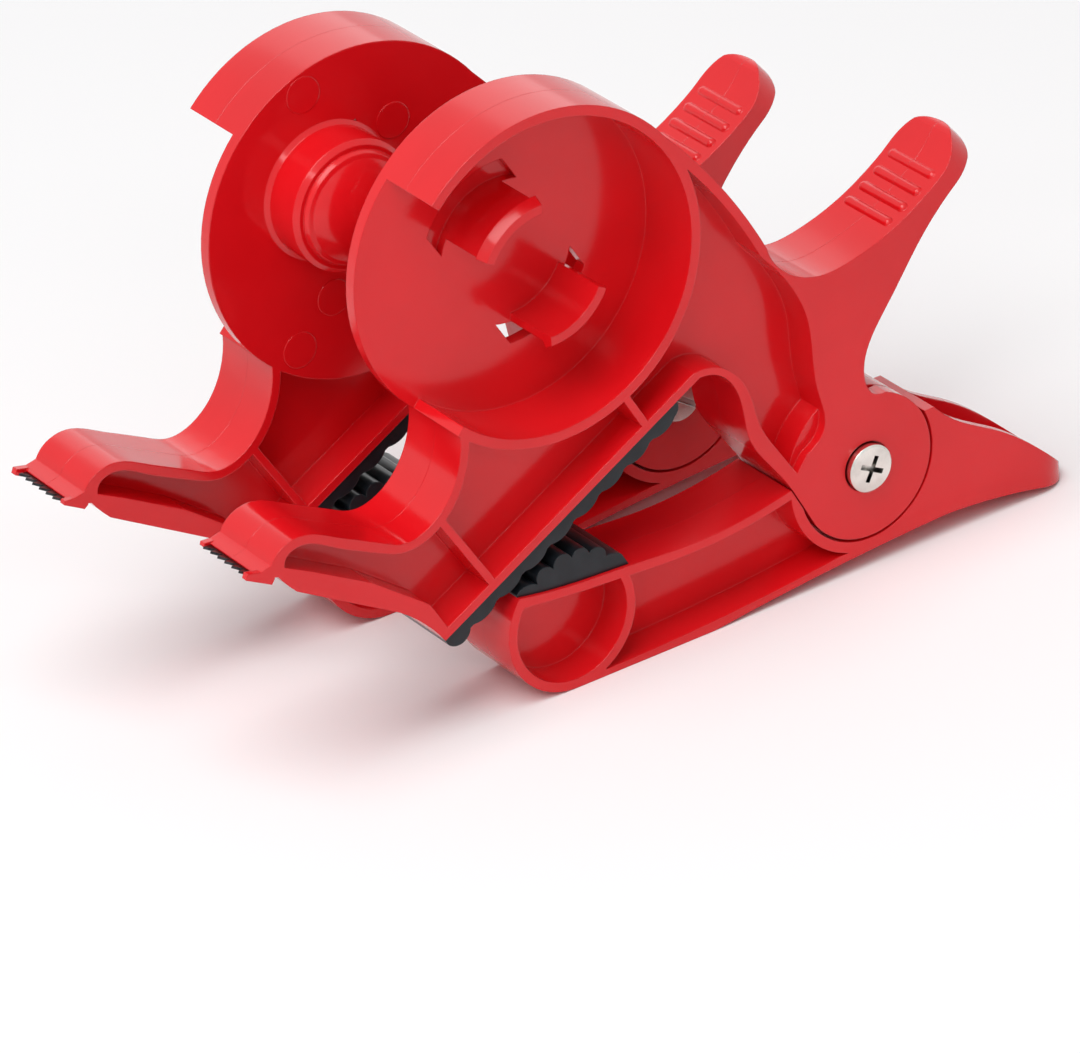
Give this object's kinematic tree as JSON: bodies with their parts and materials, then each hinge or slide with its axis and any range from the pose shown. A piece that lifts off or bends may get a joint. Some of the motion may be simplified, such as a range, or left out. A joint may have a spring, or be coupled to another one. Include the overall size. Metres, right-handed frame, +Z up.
{
  "type": "gift wrap paper cutter",
  "caption": "Mirrored pair of spring clamps that clip to a table edge, hold a roll of wrapping paper between them, and carry tape in side cups with a serrated cutter.",
  "frame": {"origin": "middle of the bounding box at the height of the table under the clamps", "axes": "+X from the noses to the handles, +Y from the near clamp to the far one along the paper roll, +Z up"},
  "size_m": [0.1656, 0.0568, 0.1],
  "materials": {
    "red_plastic": "glossy",
    "black_rubber": "matt",
    "blade_steel": "brushed",
    "nickel_steel": "polished",
    "spring_steel": "drawn wire"
  },
  "bodies": {
    "near_clamp": {"near_clamp_frame": "red_plastic", "near_upper_pad": "black_rubber", "near_cutter_blade": "blade_steel", "near_pivot_screw": "nickel_steel", "near_sleeve_nut": "nickel_steel", "near_torsion_spring": "spring_steel"},
    "near_jaw": {"near_lower_jaw": "red_plastic", "near_lower_pad": "black_rubber"},
    "far_clamp": {"far_clamp_frame": "red_plastic", "far_upper_pad": "black_rubber", "far_cutter_blade": "blade_steel", "far_pivot_screw": "nickel_steel", "far_sleeve_nut": "nickel_steel", "far_torsion_spring": "spring_steel"},
    "far_jaw": {"far_lower_jaw": "red_plastic", "far_lower_pad": "black_rubber"}
  },
  "joints": [
    {"name": "near_jaw_hinge", "type": "hinge", "parent": "near_clamp", "child": "near_jaw", "pos_m": [0.04149, -0.01965, 0.01823], "axis": [0, -1, 0], "range_deg": [0, 38], "stiffness_Nm_per_rad": 0.4, "springref_deg": -89.95, "deforming": ["near_torsion_spring"]},
    {"name": "clamp_spacing", "type": "slide", "parent": "near_clamp", "child": "far_clamp", "axis": [0, 1, 0], "range_m": [0, 0.3]},
    {"name": "far_jaw_hinge", "type": "hinge", "parent": "far_clamp", "child": "far_jaw", "pos_m": [0.03239, 0.01965, 0.01823], "axis": [0, -1, 0], "range_deg": [0, 38], "stiffness_Nm_per_rad": 0.4, "springref_deg": -89.95, "deforming": ["far_torsion_spring"]}
  ]
}
